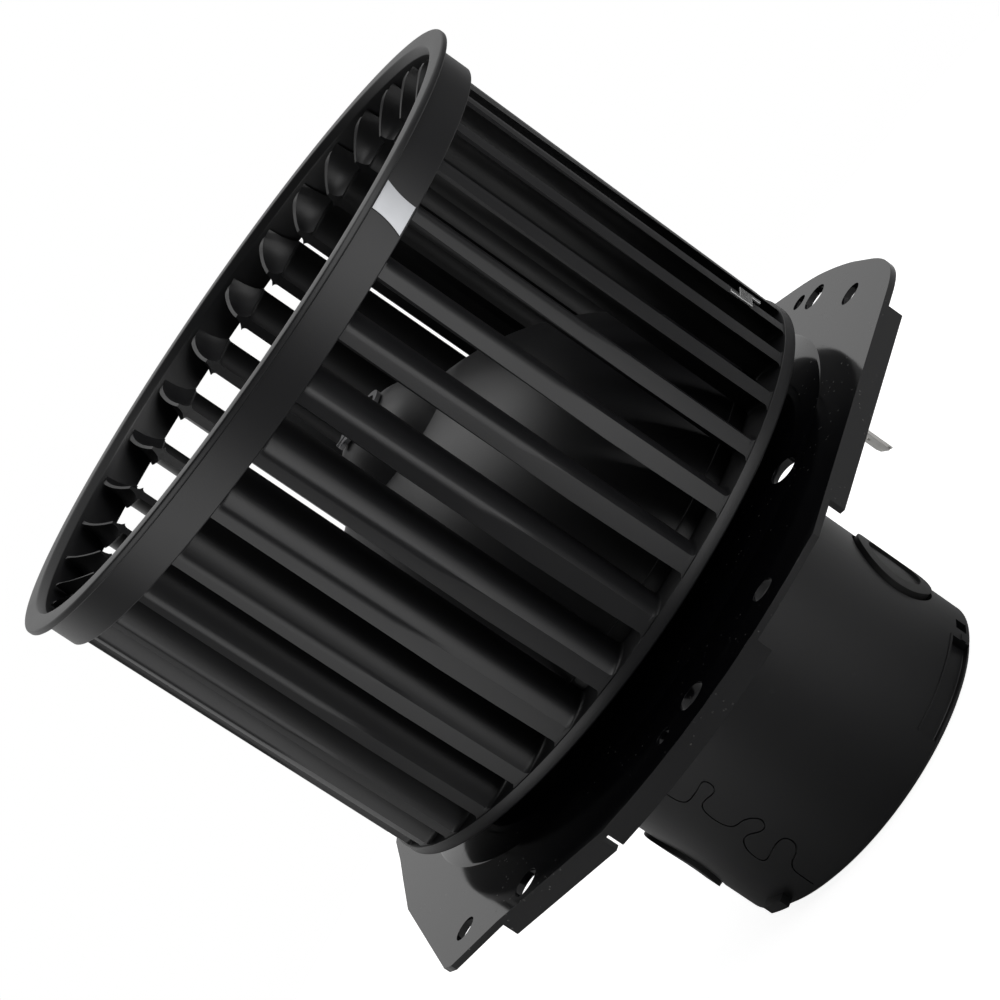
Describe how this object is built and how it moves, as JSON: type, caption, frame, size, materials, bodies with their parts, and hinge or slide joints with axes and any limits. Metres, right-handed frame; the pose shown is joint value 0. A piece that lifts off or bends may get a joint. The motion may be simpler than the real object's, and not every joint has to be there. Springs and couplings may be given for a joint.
{
  "type": "blower motor with wheel",
  "caption": "Vehicle heater blower: a forward-curved squirrel-cage wheel with a domed hub on the shaft of a DC motor that hangs under a pressed mounting plate.",
  "frame": {"origin": "on the shaft axis, in the plane of the mounting plate's rim face on the wheel's side", "axes": "+Z along the shaft axis towards the wheel's inlet; +X and +Y lie in the plate's plane, and the supply terminal is on +X"},
  "size_m": [0.1695, 0.1796, 0.1666],
  "materials": {
    "wheel_plastic": "satin moulded",
    "spring_steel": "dull",
    "bright_steel": "bright plated",
    "foil": "satin",
    "ground_steel": "ground",
    "lamination": "dull",
    "copper": "enamelled",
    "nylon": "natural",
    "fibre": "pressed",
    "bronze": "porous",
    "zinc_steel": "zinc plated",
    "black_steel": "satin black",
    "ferrite": "matt",
    "brass": "pressed",
    "carbon": "graphite",
    "gloss_black_paint": "gloss black",
    "black_plastic": "moulded",
    "tinned_brass": "tin plated",
    "black_rubber": "moulded"
  },
  "bodies": {
    "stator": {"front_bearing": "bronze", "rear_bearing": "bronze", "front_bearing_retainer": "bright_steel", "rear_bearing_retainer": "bright_steel", "front_end_plate": "zinc_steel", "rear_end_cap": "black_steel", "motor_can": "black_steel", "magnets": "ferrite", "magnet_clips": "spring_steel", "brush_card": "fibre", "brush_holders": "brass", "brush_spring_a": "spring_steel", "brush_spring_b": "spring_steel", "mounting_plate": "gloss_black_paint", "motor_screws": "zinc_steel", "terminal_block": "black_plastic", "power_terminal": "tinned_brass", "ground_terminal": "tinned_brass", "terminal_rivet": "bright_steel", "side_plugs": "black_rubber"},
    "rotor": {"wheel_inlet_ring": "wheel_plastic", "wheel_blades": "wheel_plastic", "wheel_back_ring": "wheel_plastic", "wheel_hub": "wheel_plastic", "hub_ribs": "wheel_plastic", "hub_spring_clip": "spring_steel", "balance_clip": "bright_steel", "balance_patch": "foil", "motor_shaft": "ground_steel", "armature_core": "lamination", "armature_windings": "copper", "commutator": "copper", "thrust_washers": "nylon", "oil_slinger": "fibre"},
    "brush_a": {"brush_a": "carbon"},
    "brush_b": {"brush_b": "carbon"}
  },
  "joints": [
    {"name": "shaft_spin", "type": "hinge", "parent": "stator", "child": "rotor", "pos_m": [0, 0, 0], "axis": [0, 0, 1], "continuous": true},
    {"name": "brush_a_slide", "type": "slide", "parent": "stator", "child": "brush_a", "axis": [1, 0, 0], "range_m": [0, 0.0015], "stiffness_N_per_m": 250, "springref_m": -0.003, "deforming": ["brush_spring_a"]},
    {"name": "brush_b_slide", "type": "slide", "parent": "stator", "child": "brush_b", "axis": [-1, 0, 0], "range_m": [0, 0.0015], "stiffness_N_per_m": 250, "springref_m": -0.003, "deforming": ["brush_spring_b"]}
  ]
}
